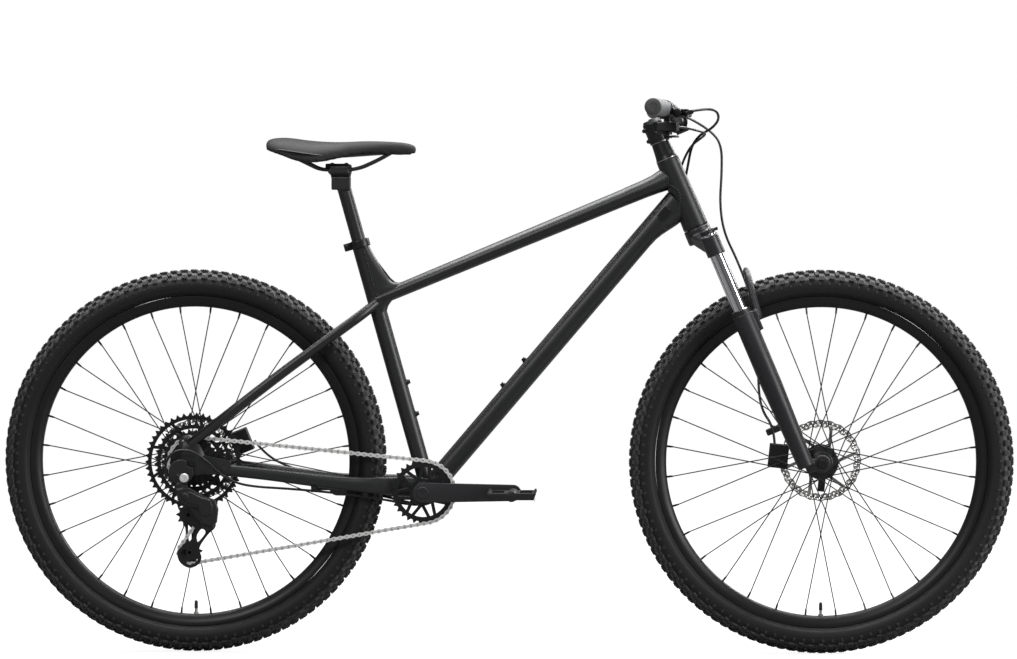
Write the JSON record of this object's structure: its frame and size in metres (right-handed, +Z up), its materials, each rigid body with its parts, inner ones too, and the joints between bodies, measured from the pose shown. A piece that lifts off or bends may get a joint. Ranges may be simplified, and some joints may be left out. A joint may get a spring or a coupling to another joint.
{
  "type": "mountain bike",
  "caption": "Hardtail mountain bike with a suspension fork, disc brakes, wide cassette, flat-bar cockpit and knobbed tyres.",
  "frame": {"origin": "on the ground, halfway between the axles", "axes": "+X forward, +Y to the rider's left, +Z up"},
  "size_m": [1.96, 0.7908, 1.0736],
  "materials": {
    "frame_paint": "satin black",
    "fork_paint": "satin dark grey",
    "chrome": "polished",
    "black_alloy": "black anodised",
    "silver_alloy": "brushed",
    "steel": "brushed",
    "dark_steel": "dark plated",
    "tyre": "rubber with a knobbed tread",
    "rubber": "grey rubber",
    "plastic": "matt black",
    "cover": "synthetic leather, matt black"
  },
  "bodies": {
    "frame": {"head_tube": "frame_paint", "top_tube": "frame_paint", "down_tube": "frame_paint", "seat_tube": "frame_paint", "bottom_bracket_shell": "frame_paint", "bottom_bracket_cups": "black_alloy", "chainstays": "frame_paint", "seatstays": "frame_paint", "dropouts": "frame_paint", "headset_cups": "black_alloy", "seat_collar": "black_alloy", "frame_fittings": "black_alloy", "rear_axle": "black_alloy", "rear_caliper": "black_alloy", "stay_hoses": "plastic", "chain": "steel", "derailleur_body": "black_alloy"},
    "seat": {"seatpost": "black_alloy", "saddle_frame": "dark_steel", "saddle_cover": "cover"},
    "steering": {"fork_crown": "fork_paint", "stanchions": "chrome", "headset_spacers": "black_alloy", "stem": "black_alloy", "handlebar": "black_alloy", "grips": "rubber", "brake_master_cylinders": "black_alloy", "shifter_body": "plastic", "bar_hoses": "plastic", "front_brake_hose": "plastic"},
    "fork_lower": {"fork_lowers": "fork_paint", "fork_seals": "rubber", "front_caliper": "black_alloy", "front_axle": "black_alloy"},
    "axle_lever": {"axle_lever": "black_alloy"},
    "front_wheel": {"front_tyre": "tyre", "front_rim": "black_alloy", "front_spokes": "dark_steel", "front_hub": "black_alloy", "front_rotor": "steel"},
    "rear_wheel": {"rear_tyre": "tyre", "rear_rim": "black_alloy", "rear_spokes": "dark_steel", "rear_hub": "black_alloy", "rear_rotor": "steel"},
    "cassette": {"cassette": "dark_steel"},
    "crank": {"crank_arms": "black_alloy", "chainring": "dark_steel", "crank_spindle": "steel", "pedal_axles": "steel"},
    "pedal_right": {"pedal_right": "black_alloy"},
    "pedal_left": {"pedal_left": "black_alloy"},
    "cage": {"derailleur_cage": "dark_steel"},
    "guide_pulley": {"guide_pulley": "plastic"},
    "tension_pulley": {"tension_pulley": "plastic"},
    "brake_lever_left": {"brake_lever_left": "black_alloy"},
    "brake_lever_right": {"brake_lever_right": "black_alloy"},
    "shift_thumb_lever": {"shift_thumb_lever": "plastic"},
    "shift_release_lever": {"shift_release_lever": "plastic"},
    "lockout_dial": {"lockout_dial": "black_alloy"}
  },
  "joints": [
    {"name": "steering_turn", "type": "hinge", "parent": "frame", "child": "steering", "pos_m": [0.36404, 0, 0.82901], "axis": [-0.3907, 0, 0.9205], "range_deg": [-60, 60], "deforming": ["bar_hoses", "front_brake_hose"]},
    {"name": "fork_travel", "type": "slide", "parent": "steering", "child": "fork_lower", "axis": [-0.3907, 0, 0.9205], "range_m": [0, 0.1], "stiffness_N_per_m": 5000, "springref_m": -0.02, "deforming": ["front_brake_hose"]},
    {"name": "front_wheel_spin", "type": "hinge", "parent": "fork_lower", "child": "front_wheel", "pos_m": [0.608, 0, 0.372], "axis": [0, 1, 0], "continuous": true},
    {"name": "rear_wheel_spin", "type": "hinge", "parent": "frame", "child": "rear_wheel", "pos_m": [-0.608, 0, 0.372], "axis": [0, 1, 0], "continuous": true},
    {"name": "crank_spin", "type": "hinge", "parent": "frame", "child": "crank", "pos_m": [-0.162, 0, 0.315], "axis": [0, 1, 0], "continuous": true, "deforming": ["chain"]},
    {"name": "cassette_spin", "type": "hinge", "parent": "frame", "child": "cassette", "pos_m": [-0.608, 0, 0.372], "axis": [0, 1, 0], "continuous": true, "deforming": ["chain"]},
    {"name": "guide_pulley_spin", "type": "hinge", "parent": "cage", "child": "guide_pulley", "pos_m": [-0.617, -0.048, 0.27], "axis": [0, 1, 0], "continuous": true, "deforming": ["chain"]},
    {"name": "tension_pulley_spin", "type": "hinge", "parent": "cage", "child": "tension_pulley", "pos_m": [-0.615, -0.048, 0.197], "axis": [0, 1, 0], "continuous": true, "deforming": ["chain"]},
    {"name": "cage_pivot", "type": "hinge", "parent": "frame", "child": "cage", "pos_m": [-0.578, -0.048, 0.256], "axis": [0, 1, 0], "range_deg": [0, 16], "stiffness_Nm_per_rad": 1.2, "springref_deg": -20.05, "deforming": ["chain"]},
    {"name": "pedal_right_spin", "type": "hinge", "parent": "crank", "child": "pedal_right", "pos_m": [0.013, -0.13, 0.315], "axis": [0, 1, 0], "continuous": true},
    {"name": "pedal_left_spin", "type": "hinge", "parent": "crank", "child": "pedal_left", "pos_m": [-0.337, 0.13, 0.315], "axis": [0, 1, 0], "continuous": true},
    {"name": "axle_lever_throw", "type": "hinge", "parent": "fork_lower", "child": "axle_lever", "pos_m": [0.608, 0.07, 0.372], "axis": [0, 1, 0], "range_deg": [-90, 55]},
    {"name": "seatpost_height", "type": "slide", "parent": "frame", "child": "seat", "axis": [-0.2698, 0, 0.9629], "range_m": [-0.08, 0.06]},
    {"name": "brake_lever_left_pull", "type": "hinge", "parent": "steering", "child": "brake_lever_left", "pos_m": [0.3422, 0.24317, 1.04508], "axis": [0, 0, 1], "range_deg": [0, 14], "stiffness_Nm_per_rad": 1.5, "springref_deg": -8.59},
    {"name": "brake_lever_right_pull", "type": "hinge", "parent": "steering", "child": "brake_lever_right", "pos_m": [0.3422, -0.24317, 1.04508], "axis": [0, 0, -1], "range_deg": [0, 14], "stiffness_Nm_per_rad": 1.5, "springref_deg": -8.59},
    {"name": "shift_thumb_push", "type": "hinge", "parent": "steering", "child": "shift_thumb_lever", "pos_m": [0.31054, -0.21822, 1.00784], "axis": [0, 0, 1], "range_deg": [0, 25], "stiffness_Nm_per_rad": 0.6, "springref_deg": -8.59},
    {"name": "shift_release_pull", "type": "hinge", "parent": "steering", "child": "shift_release_lever", "pos_m": [0.31054, -0.21822, 1.00784], "axis": [0, 0, -1], "range_deg": [0, 12], "stiffness_Nm_per_rad": 0.6, "springref_deg": -8.59},
    {"name": "lockout_turn", "type": "hinge", "parent": "steering", "child": "lockout_dial", "pos_m": [0.38658, -0.065, 0.81685], "axis": [-0.3907, 0, 0.9205], "range_deg": [0, 90]}
  ],
  "couplings": [
    {"joint": "cassette_spin", "follows": "crank_spin", "ratio": 1.25},
    {"joint": "tension_pulley_spin", "follows": "crank_spin", "ratio": 2.7273},
    {"joint": "guide_pulley_spin", "follows": "crank_spin", "ratio": -2.7273}
  ]
}
